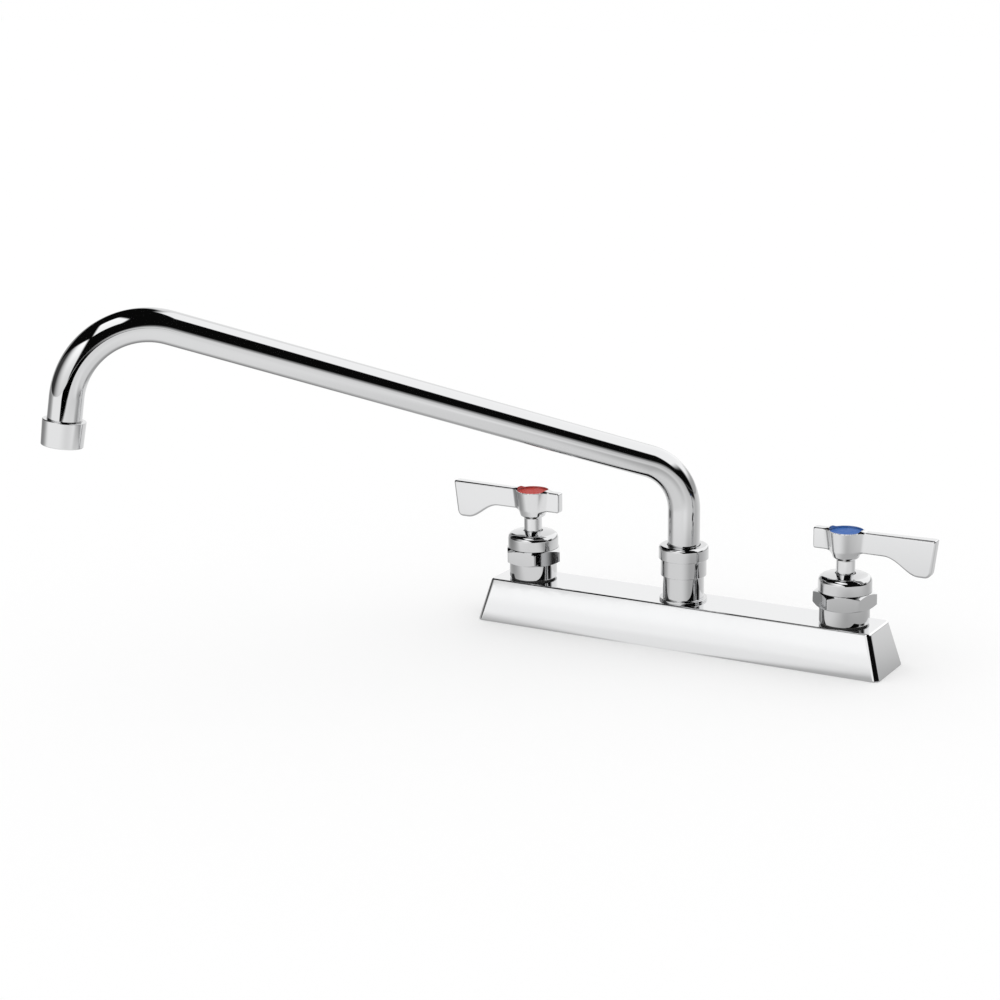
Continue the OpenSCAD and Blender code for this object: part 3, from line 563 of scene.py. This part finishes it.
def finish_mesh(name, bm, sharp=35):
    """Object from a mesh in millimetres, smooth but for edges sharper than an angle."""
    bmesh.ops.remove_doubles(bm, verts=bm.verts, dist=SAME_PLACE)
    bmesh.ops.dissolve_degenerate(bm, edges=bm.edges, dist=NO_LENGTH)
    bmesh.ops.recalc_face_normals(bm, faces=bm.faces)
    for face in bm.faces:
        face.smooth = True
    for edge in bm.edges:
        edge.smooth = len(edge.link_faces) == 2 and edge.calc_face_angle() < math.radians(sharp)
    bmesh.ops.scale(bm, vec=(MM, MM, MM), verts=bm.verts)
    mesh = bpy.data.meshes.new(name)
    bm.to_mesh(mesh)
    bm.free()
    o = bpy.data.objects.new(name, mesh)
    bpy.context.scene.collection.objects.link(o)
    normals = o.modifiers.new("normals", "WEIGHTED_NORMAL")
    normals.keep_sharp = True
    return o


def rings_to_mesh(rings, closed):
    """Skin round equal rings of points. The last ring joins the first where the form is closed."""
    bm = bmesh.new()
    rows = [[bm.verts.new(p) for p in ring] for ring in rings]
    count = len(rows[0])
    pairs = list(zip(rows, rows[1:] + rows[:1])) if closed else list(zip(rows, rows[1:]))
    for low, high in pairs:
        for i in range(count):
            j = (i + 1) % count
            bm.faces.new((low[i], low[j], high[j], high[i]))
    if not closed:
        bm.faces.new(rows[0])
        bm.faces.new(rows[-1])
    return bm


def round_ring(r, z, sides):
    """Level ring of points round the Z axis."""
    angles = (2 * math.pi * k / sides for k in range(sides))
    return [Vector((r * math.cos(a), r * math.sin(a), z)) for a in angles]


def lathe(name, outline, sides=128, place=None, sharp=35):
    """Turned piece: a closed outline of radius and height turned round the Z axis, then put in place."""
    bm = rings_to_mesh([round_ring(r, z, sides) for r, z in outline], True)
    if place is not None:
        bmesh.ops.transform(bm, matrix=place, verts=bm.verts)
    return finish_mesh(name, bm, sharp)


def stand_for(piece, node, body, slot):
    """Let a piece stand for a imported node, with that node's body and look."""
    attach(piece, body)
    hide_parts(node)
    piece.data.materials.append(LOOKS[slot])


def at_valve(side):
    """Place on the valve's axis. The side is -1 for hot and 1 for cold."""
    return Matrix.Translation((side * VALVE_X, 0, 0))


def make_post():
    """Post in the middle of the base, with a thin foot and a socket for the spout."""
    outline = soften([
        (WATERWAY_R, POST_SHANK_FOOT_Z, 0.2), (POST_SHANK_R, POST_SHANK_FOOT_Z, 0.5),
        (POST_SHANK_R, DECK_Z, 0), (POST_FOOT_R, DECK_Z, 0.15),
        (POST_FOOT_R, POST_FOOT_TOP_Z, 0.4), (POST_R, POST_FOOT_TOP_Z, 0.3),
        (POST_R, POST_TOP_Z, 0.5), (SOCKET_R, POST_TOP_Z, 0.15),
        (SOCKET_R, SOCKET_FLOOR_Z, 0), (WATERWAY_R, SOCKET_FLOOR_Z, 0.2),
    ])
    stand_for(lathe("post", outline), "spout_post", "fixture", "plated_turning")


def make_nut():
    """Two-step round nut that keeps the spout in its post."""
    bore_r = POST_R + THREAD_GAP
    outline = soften([
        (bore_r, NUT_FOOT_Z, 0.2), (NUT_SKIRT_R, NUT_FOOT_Z, 0.3), (NUT_SKIRT_R, NUT_STEP_Z, 0.25),
        (NUT_BAND_R, NUT_STEP_Z, 0.35), (NUT_BAND_R, NUT_TOP_Z, NUT_ROUND), (NUT_HOLE_R, NUT_TOP_Z, 0.3),
        (NUT_HOLE_R, NUT_LIP_Z, 0.1), (bore_r, NUT_LIP_Z, 0),
    ], 10)
    stand_for(lathe("nut", outline), "swivel_nut", "fixture", "plated_turning")


def make_cap(side, word):
    """Cap nut with a round shoulder and a low crown, which is part of a large sphere."""
    bore_r = CAP_THREAD_R + THREAD_GAP
    foot = [
        (bore_r, HEX_TOP_Z), (CAP_R - 0.35, HEX_TOP_Z),
        (CAP_R - 0.1, HEX_TOP_Z + 0.1), (CAP_R, HEX_TOP_Z + 0.4),
    ]
    shoulder = []
    for degrees in range(0, 78, 7):
        a = math.radians(degrees)
        r = CAP_R - CAP_ROUND + CAP_ROUND * math.cos(a)
        shoulder.append((r, CAP_SHOULDER_Z - CAP_ROUND + CAP_ROUND * math.sin(a)))
    crown = []
    steps = 8
    for k in range(steps + 1):
        r = CROWN_EDGE_R + (CROWN_HOLE_R - CROWN_EDGE_R) * k / steps
        crown.append((r, CAP_PEAK_Z - CROWN_RADIUS + math.sqrt(CROWN_RADIUS ** 2 - r ** 2)))
    hole = [
        (CAP_HOLE_R + 0.1, CAP_PEAK_Z - 0.42), (CAP_HOLE_R, CAP_PEAK_Z - 0.65),
        (CAP_HOLE_R, CAP_CEILING_Z), (bore_r, CAP_CEILING_Z),
    ]
    piece = lathe(word + "_cap_nut", foot + shoulder + crown + hole, place=at_valve(side))
    stand_for(piece, "cap_" + word, "fixture", "plated_turning")


def hex_edge(a):
    """Radius of the hexagon at an angle, measured from the middle of a flat, with soft corners."""
    flat = HEX_FLATS / 2
    corner_r = flat / math.cos(math.radians(30))
    off = (math.degrees(a) + 30) % 60 - 30
    from_corner = math.radians(30 - abs(off))
    edge = flat / math.cos(math.radians(30) - from_corner)
    middle = corner_r - HEX_CORNER_ROUND / math.cos(math.radians(30))
    spread = HEX_CORNER_ROUND ** 2 - (middle * math.sin(from_corner)) ** 2
    if spread > 0:
        edge = min(edge, middle * math.cos(from_corner) + math.sqrt(spread))
    return edge


def make_bonnet(side, word):
    """Skirt, hex and threads in one turned skin, whose hex rows follow a bevelled hexagon."""
    bevel_r = HEX_FLATS / 2 - HEX_BEVEL
    below = [
        (SHANK_BORE_R, SHANK_FOOT_Z), (SHANK_R - 0.3, SHANK_FOOT_Z), (SHANK_R, SHANK_FOOT_Z + 0.3),
        (SHANK_R, SKIRT_FOOT_Z), (SKIRT_R - 0.4, SKIRT_FOOT_Z), (SKIRT_R - 0.12, SKIRT_FOOT_Z + 0.12),
        (SKIRT_R, SKIRT_FOOT_Z + 0.4), (SKIRT_R, HEX_FOOT_Z), (bevel_r - 0.1, HEX_FOOT_Z),
    ]
    above = [
        (bevel_r - 0.1, HEX_TOP_Z), (CAP_THREAD_R, HEX_TOP_Z), (CAP_THREAD_R, CAP_THREAD_TOP_Z - 0.3),
        (CAP_THREAD_R - 0.3, CAP_THREAD_TOP_Z), (SHANK_BORE_R, CAP_THREAD_TOP_Z),
    ]
    sides = 180
    rings = []
    for k in range(sides):
        a = 2 * math.pi * k / sides
        edge = hex_edge(a)
        bevel = (edge - bevel_r) * math.tan(math.radians(30))
        column = below + [(edge, HEX_FOOT_Z + bevel), (edge, HEX_TOP_Z - bevel)] + above
        rings.append([Vector((r * math.cos(a), r * math.sin(a), z)) for r, z in column])
    bm = rings_to_mesh(rings, True)
    place = at_valve(side) @ Matrix.Rotation(math.radians(HEX_TURNS[word] + 30), 4, "Z")
    bmesh.ops.transform(bm, matrix=place, verts=bm.verts)
    piece = finish_mesh(word + "_bonnet", bm, sharp=24)
    stand_for(piece, "bonnet_" + word, "fixture", "plated_turning")


def spout_route(foot, tail, arc_step=1.5):
    """Centre line of the spout in its own plane: places and directions, s outward and z up."""
    climb = math.radians(90 - ELBOW_TURN)
    route = [((0.0, foot), (0.0, 1.0)), ((0.0, RISER_TOP_Z), (0.0, 1.0))]
    steps = round(ELBOW_TURN / arc_step)
    for k in range(1, steps + 1):
        a = math.radians(ELBOW_TURN * k / steps)
        place = (ELBOW_R * (1 - math.cos(a)), RISER_TOP_Z + ELBOW_R * math.sin(a))
        route.append((place, (math.sin(a), math.cos(a))))
    s, z = route[-1][0]
    s += RUN_LENGTH * math.cos(climb)
    z += RUN_LENGTH * math.sin(climb)
    route.append(((s, z), (math.cos(climb), math.sin(climb))))
    cs = s + OUTLET_BEND_R * math.sin(climb)
    cz = z - OUTLET_BEND_R * math.cos(climb)
    turn = 90 + (90 - ELBOW_TURN) - OUTLET_LEAN
    steps = round(turn / arc_step)
    for k in range(1, steps + 1):
        a = math.pi / 2 + climb - math.radians(turn * k / steps)
        place = (cs + OUTLET_BEND_R * math.cos(a), cz + OUTLET_BEND_R * math.sin(a))
        route.append((place, (math.sin(a), -math.cos(a))))
    (s, z), (ds, dz) = route[-1]
    route.append(((s + ds * tail, z + dz * tail), (ds, dz)))
    return route, (s, z)


def spout_plane():
    """Turn from the spout's own plane to where it stands at rest."""
    return Matrix.Rotation(math.radians(SWING), 4, "Z")


def pipe_rings(route, radius, sides=112):
    """Rings of points round the centre line of the spout."""
    rings = []
    angles = [2 * math.pi * i / sides for i in range(sides)]
    level = Vector((0, 1, 0))
    for (s, z), (ds, dz) in route:
        place = Vector((s, 0, z))
        across = Vector((-dz, 0, ds))
        rings.append([place + radius * (math.cos(a) * across + math.sin(a) * level) for a in angles])
    return rings


def make_tube():
    """The whole bent tube as one open skin: out along the outside and back along the bore."""
    route, _ = spout_route(TUBE_FOOT_Z, DROP_LENGTH + TUBE_SEAT)
    rings = pipe_rings(route, TUBE_R) + pipe_rings(reversed(route), TUBE_BORE_R)
    bm = rings_to_mesh(rings, True)
    bmesh.ops.transform(bm, matrix=spout_plane(), verts=bm.verts)
    stand_for(finish_mesh("tube", bm), "spout_tube", "spout", "plated_tube")


def outlet_place():
    """Frame whose Z axis runs out of the outlet."""
    _, (s, z) = spout_route(TUBE_FOOT_Z, 1.0)
    turned = Matrix.Translation((s, 0, z)) @ Matrix.Rotation(math.radians(180 - OUTLET_LEAN), 4, "Y")
    return spout_plane() @ turned


def make_collar():
    """Slightly tapered ring on the outlet."""
    top = DROP_LENGTH
    end = DROP_LENGTH + COLLAR_LENGTH
    seat_r = TUBE_R + COLLAR_GAP
    outline = soften([
        (seat_r, top, 0.12), (COLLAR_R, top, 0.45), (COLLAR_END_R, end, 0.55), (COLLAR_BORE_R, end, 0.25),
        (COLLAR_BORE_R, top + TUBE_SEAT, 0), (seat_r, top + TUBE_SEAT, 0),
    ])
    stand_for(lathe("collar", outline, place=outlet_place()), "outlet_collar", "spout", "plated_turning")


# Lever sizes, in millimetres, in the lever's own frame with X along the blade
NECK_R = 5.5
NECK_FOOT_Z = 55.1
NECK_TOP_Z = 64.1
FLARE_R = 7.6
FLARE_Z = 65.2
KNEE_R = 8.75
KNEE_Z = 69.2
BORE_FOOT_Z = 50
BORE_TOP_Z = 90
STEM_SOCKET_R = 4.25
STEM_SOCKET_TOP_Z = 62
SCREW_HOLE_R = 2.3
POCKET_R = 4.7
POCKET_FLOOR_Z = 65.6
BLADE_LENGTH = 54.6
BLADE_TOP_Z = 81.1
BLADE_CLIMB = 0.7
BLADE_TIP = 22.4
BLADE_ROOT_HALF = 2.6
BLADE_WIDENS = 1.1
BLADE_END_ROUND = 2.1
BLADE_ROOT_EDGE = 0.8
BLADE_EDGE_GROWS = 0.6
TOP_ROUND = 1.2
WAIST_Z = 68.9
TIP_Z = 59.4
WAIST_END = 0.42 * BLADE_LENGTH
SWEEP_END = 0.855 * BLADE_LENGTH
TIP_LEAN = 2.9
TIP_ROUND = 4.2
STUB_LENGTH = 19.6
STUB_HALF = 3.1
STUB_END_ROUND = 1.8
STUB_FOOT_ROUND = 1.6
STUB_EDGE = 1.0
ROOT_FILLET = 3.0
# Rim round the button, which lets the button into the hub, and the seat under the button
RIM_R = 10.3
RIM_TOP_Z = 80.9
RIM_BORE_R = 9.8
SEAT_Z = 79.5
# Box round the lever, and the size of the cells in which its surface is found
SKIN_LOW = (-21, -12, 54)
SKIN_HIGH = (57, 12, 83)
SKIN_STEP = 0.45
# A corner this near the form, with its face turned about the form's way, takes the form's normal
ON_FORM = 0.03
SAME_WAY = 0.75

# Index buttons, in millimetres. A face closes on a very small ring round its axis
BUTTON_R = 9.68
BUTTON_THICK = 0.5
FACE_R = 9.3
FACE_CROWN = 0.14
PEG_R = 4.62
PEG_BORE_R = 3.4
PEG_FOOT_Z = 76.5
AXIS_R = 0.02
BUTTON_LOOKS = {"hot": "red_button", "cold": "blue_button"}


def ease(t):
    """Smooth rise from 0 to 1."""
    return (1 - np.cos(np.pi * np.clip(t, 0, 1))) / 2


def round_both(a, b, radius):
    """Distance to what two forms share, with the edge between them rounded."""
    outside = np.hypot(np.maximum(a + radius, 0), np.maximum(b + radius, 0))
    return np.minimum(np.maximum(a, b), -radius) + outside


def round_either(a, b, radius):
    """Distance to two forms together, with a fillet between them."""
    near = np.hypot(np.maximum(radius - a, 0), np.maximum(radius - b, 0))
    return np.maximum(np.minimum(a, b), radius) - near


def outline_distance(outline, r, z):
    """Signed distance to a closed outline in the (r, z) plane, negative inside."""
    best = np.full(r.shape, 1e9)
    inside = np.zeros(r.shape, bool)
    for start, end in zip(outline, outline[1:] + outline[:1]):
        er, ez = end[0] - start[0], end[1] - start[1]
        wr, wz = r - start[0], z - start[1]
        share = np.clip((wr * er + wz * ez) / (er * er + ez * ez), 0, 1)
        best = np.minimum(best, (wr - share * er) ** 2 + (wz - share * ez) ** 2)
        if ez != 0:
            crosses = (start[1] <= z) != (end[1] <= z)
            inside ^= crosses & (r < start[0] + (z - start[1]) * er / ez)
    return np.where(inside, -1, 1) * np.sqrt(best)


HUB_OUTLINE = [tuple(p) for p in soften([
    (-NECK_R, NECK_FOOT_Z, 0), (NECK_R, NECK_FOOT_Z, 0.2), (NECK_R, NECK_TOP_Z, 0.8), (FLARE_R, FLARE_Z, 1.6),
    (KNEE_R, KNEE_Z, 6.0), (RIM_R, RIM_TOP_Z, 0.2), (-RIM_R, RIM_TOP_Z, 0), (-KNEE_R, KNEE_Z, 0),
    (-NECK_R, NECK_TOP_Z, 0),
], 4)]


def blade_form(x, y, z):
    """Signed distance to the blade. Its lower edge sweeps down from the waist to the tip."""
    top = BLADE_TOP_Z + BLADE_CLIMB * x / BLADE_LENGTH
    lean = TIP_LEAN * ease((x - WAIST_END) / (BLADE_LENGTH - WAIST_END)) * (top - z) / BLADE_TIP
    along = x + lean
    out = np.clip(along / BLADE_LENGTH, 0, 1)
    share = (along - WAIST_END) / (SWEEP_END - WAIST_END)
    drop = WAIST_Z - TIP_Z
    low = WAIST_Z - drop * ease(share)
    slope = drop * np.pi / 2 * np.sin(np.pi * np.clip(share, 0, 1)) / (SWEEP_END - WAIST_END)
    end = along - BLADE_LENGTH
    under = (low - z) / np.sqrt(1 + slope ** 2)
    plan = round_both(np.abs(y) - BLADE_ROOT_HALF - BLADE_WIDENS * out, end, BLADE_END_ROUND)
    upright = np.maximum(round_both(under, end, TIP_ROUND), round_both(z - top, end, TOP_ROUND))
    return np.maximum(round_both(plan, upright, BLADE_ROOT_EDGE + BLADE_EDGE_GROWS * out), -x)


def stub_form(x, y, z):
    """Signed distance to the short stub on the other side of the hub."""
    end = -x - STUB_LENGTH
    plan = round_both(np.abs(y) - STUB_HALF, end, STUB_END_ROUND)
    foot = round_both(WAIST_Z - z, end, STUB_FOOT_ROUND)
    upright = np.maximum(foot, round_both(z - BLADE_TOP_Z, end, TOP_ROUND))
    return np.maximum(round_both(plan, upright, STUB_EDGE), x)


def lever_form(points):
    """Signed distance to the whole lever before it is bored, in millimetres."""
    x, y, z = points[..., 0], points[..., 1], points[..., 2]
    hub = outline_distance(HUB_OUTLINE, np.hypot(x, y), z)
    return round_either(hub, np.minimum(blade_form(x, y, z), stub_form(x, y, z)), ROOT_FILLET)


def form_slope(form, points):
    """Steepest rise of a form at each point."""
    step = 0.03
    slope = np.empty_like(points)
    for k in range(3):
        shift = np.zeros(3)
        shift[k] = step
        slope[:, k] = (form(points + shift) - form(points - shift)) / (2 * step)
    return slope


def settle(form, points, rounds=4):
    """Points moved onto the surface of a form."""
    for _ in range(rounds):
        slope = form_slope(form, points)
        size = np.maximum((slope ** 2).sum(1), 0.05)
        points = points - slope * (np.clip(form(points), -0.5, 0.5) / size)[:, None]
    return points


def skin_of(form, low, high, step):
    """Even quad skin on the surface of a form: one point for each grid cell that it passes through."""
    axes = [np.arange(a, b + step, step) for a, b in zip(low, high)]
    grid = np.stack(np.meshgrid(*axes, indexing="ij"), -1)
    inside = form(grid) < 0
    cells = np.zeros([n - 1 for n in inside.shape], int)
    for i in (0, 1):
        for j in (0, 1):
            for k in (0, 1):
                nx, ny, nz = cells.shape
                cells += inside[i:i + nx, j:j + ny, k:k + nz]
    mixed = (cells > 0) & (cells < 8)
    number = np.full(cells.shape, -1)
    number[mixed] = np.arange(mixed.sum())
    points = grid[:-1, :-1, :-1][mixed] + step / 2
    faces = []
    for axis in range(3):
        one, two = [a for a in range(3) if a != axis]
        first = np.moveaxis(inside, (axis, one, two), (0, 1, 2))
        cell = np.moveaxis(number, (axis, one, two), (0, 1, 2))
        change = first[1:, 1:-1, 1:-1] != first[:-1, 1:-1, 1:-1]
        i, j, k = np.nonzero(change)
        corners = [cell[i, j, k], cell[i, j + 1, k], cell[i, j + 1, k + 1], cell[i, j, k + 1]]
        faces.append(np.stack(corners, 1))
    faces = np.concatenate(faces)
    points = settle(form, points)
    for _ in range(3):
        total = np.zeros_like(points)
        count = np.zeros(len(points))
        for a, b in ((0, 1), (1, 2), (2, 3), (3, 0)):
            np.add.at(total, faces[:, a], points[faces[:, b]])
            np.add.at(count, faces[:, a], 1)
            np.add.at(total, faces[:, b], points[faces[:, a]])
            np.add.at(count, faces[:, b], 1)
        points = settle(form, total / count[:, None], 3)
    return points, faces


def bored(piece, rows, sides=96):
    """Mesh of a piece with a stepped bore cut out. The rows are radius and height, from foot to top."""
    bm = rings_to_mesh([round_ring(r, z, sides) for r, z in rows], False)
    bmesh.ops.recalc_face_normals(bm, faces=bm.faces)
    mesh = bpy.data.meshes.new("bore")
    bm.to_mesh(mesh)
    bm.free()
    bore = bpy.data.objects.new("bore", mesh)
    bpy.context.scene.collection.objects.link(bore)
    cut = piece.modifiers.new("bore", "BOOLEAN")
    cut.operation = "DIFFERENCE"
    cut.solver = "EXACT"
    cut.object = bore
    depsgraph = bpy.context.evaluated_depsgraph_get()
    result = bpy.data.meshes.new_from_object(piece.evaluated_get(depsgraph))
    piece.modifiers.clear()
    bpy.data.objects.remove(bore)
    bpy.data.meshes.remove(mesh)
    return result


def lever_mesh():
    """The lever with its fillets, bored for the stem, the screw and the button, and its surface normals."""
    points, faces = skin_of(lever_form, SKIN_LOW, SKIN_HIGH, SKIN_STEP)
    mesh = bpy.data.meshes.new("lever")
    mesh.from_pydata(points.tolist(), [], faces.tolist())
    bm = bmesh.new()
    bm.from_mesh(mesh)
    bmesh.ops.recalc_face_normals(bm, faces=bm.faces)
    bm.to_mesh(mesh)
    bm.free()
    o = bpy.data.objects.new("lever", mesh)
    bpy.context.scene.collection.objects.link(o)
    rows = [
        (STEM_SOCKET_R, BORE_FOOT_Z), (STEM_SOCKET_R, STEM_SOCKET_TOP_Z),
        (SCREW_HOLE_R, STEM_SOCKET_TOP_Z), (SCREW_HOLE_R, POCKET_FLOOR_Z),
        (POCKET_R, POCKET_FLOOR_Z), (POCKET_R, SEAT_Z), (RIM_BORE_R, SEAT_Z), (RIM_BORE_R, BORE_TOP_Z),
    ]
    result = bored(o, rows)
    bpy.data.objects.remove(o)
    places = np.empty(len(result.vertices) * 3)
    result.vertices.foreach_get("co", places)
    places = places.reshape(-1, 3)

    # The form gives the normals of its own surface, and the bore keeps those of its faces
    slope = form_slope(lever_form, places)
    slope /= np.linalg.norm(slope, axis=1)[:, None]
    off = np.abs(lever_form(places))
    normals = []
    for face in result.polygons:
        plain = face.normal
        for v in face.vertices:
            own = Vector(slope[v])
            normals.append(own if off[v] < ON_FORM and own.dot(plain) > SAME_WAY else plain)
    result.polygons.foreach_set("use_smooth", [True] * len(result.polygons))
    result.normals_split_custom_set(normals)
    return result


def make_button(side, word):
    """Index button, let into the rim of the hub, with a slightly crowned face and a hollow peg."""
    peg = [(PEG_BORE_R, PEG_FOOT_Z), (PEG_R - 0.12, PEG_FOOT_Z), (PEG_R, PEG_FOOT_Z + 0.2), (PEG_R, SEAT_Z)]
    edge = [
        (BUTTON_R - 0.08, SEAT_Z), (BUTTON_R, SEAT_Z + 0.08), (BUTTON_R, SEAT_Z + 0.2),
        (BUTTON_R - 0.08, SEAT_Z + 0.28), (BUTTON_R - 0.21, SEAT_Z + 0.34),
    ]
    face = []
    steps = 12
    for k in range(steps + 1):
        share = 1 - k / steps
        face.append((max(FACE_R * share, AXIS_R), SEAT_Z + BUTTON_THICK - FACE_CROWN * share ** 2))
    inside = [(AXIS_R, SEAT_Z), (PEG_BORE_R, SEAT_Z)]
    piece = lathe(word + "_index", peg + edge + face + inside, place=at_valve(side), sides=96)
    stand_for(piece, "index_button_" + word, word + "_lever", BUTTON_LOOKS[word])


def make_levers():
    """Both levers from one mesh. The hot one is turned half round."""
    mesh = lever_mesh()
    for (side, word), own in zip(VALVES, (mesh.copy(), mesh)):
        half_turn = Matrix.Rotation(math.pi if word == "hot" else 0, 4, "Z")
        own.transform(Matrix.Scale(MM, 4) @ at_valve(side) @ half_turn)
        piece = bpy.data.objects.new(word + "_handle", own)
        bpy.context.scene.collection.objects.link(piece)
        stand_for(piece, "handle_" + word, word + "_lever", "plated_handle")


make_camera()
make_world()
make_floor()
make_lamp()
dress_nodes()
smooth_facets(nodes["base_body"])
make_post()
make_nut()
for side, word in VALVES:
    make_bonnet(side, word)
    make_cap(side, word)
for side, word in VALVES:
    make_button(side, word)
make_levers()
make_tube()
make_collar()

scene = bpy.context.scene
scene.view_settings.view_transform = "Standard"
